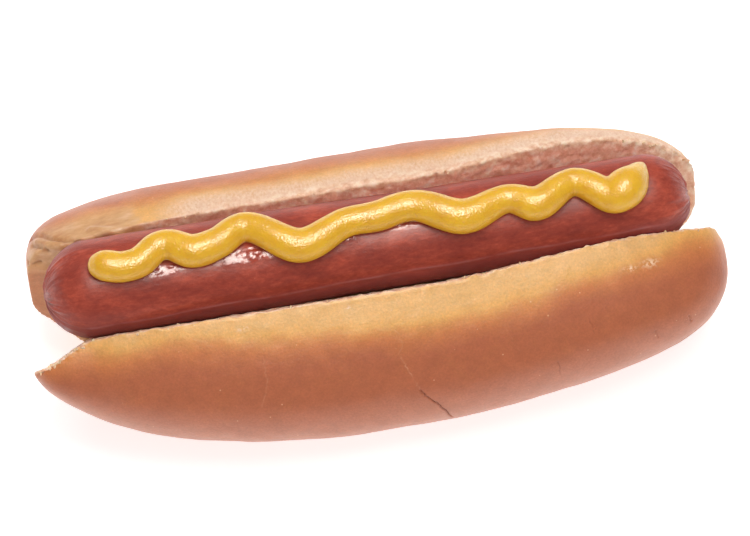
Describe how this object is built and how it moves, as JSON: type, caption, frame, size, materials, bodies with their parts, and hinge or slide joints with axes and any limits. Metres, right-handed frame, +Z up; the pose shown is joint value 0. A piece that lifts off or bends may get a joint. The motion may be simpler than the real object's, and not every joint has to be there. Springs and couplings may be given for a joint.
{
  "type": "hot dog",
  "caption": "Long soft roll hinged along one side, with a cooked frankfurter in its cut and a wavy line of mustard piped on top.",
  "frame": {"origin": "bottom centre of the whole hot dog's box, on the surface that it rests on", "axes": "+X along the roll, +Y from the front half to the back half, +Z up"},
  "size_m": [0.156, 0.0646, 0.0497],
  "materials": {
    "baked_crust": "soft baked crust, browned on the domes and pale beside the cut",
    "smoked_sausage": "moist red-brown cooked casing",
    "yellow_mustard": "smooth wet yellow paste"
  },
  "bodies": {
    "root": {"bun": "baked_crust", "sausage": "smoked_sausage", "mustard": "yellow_mustard"}
  },
  "joints": []
}
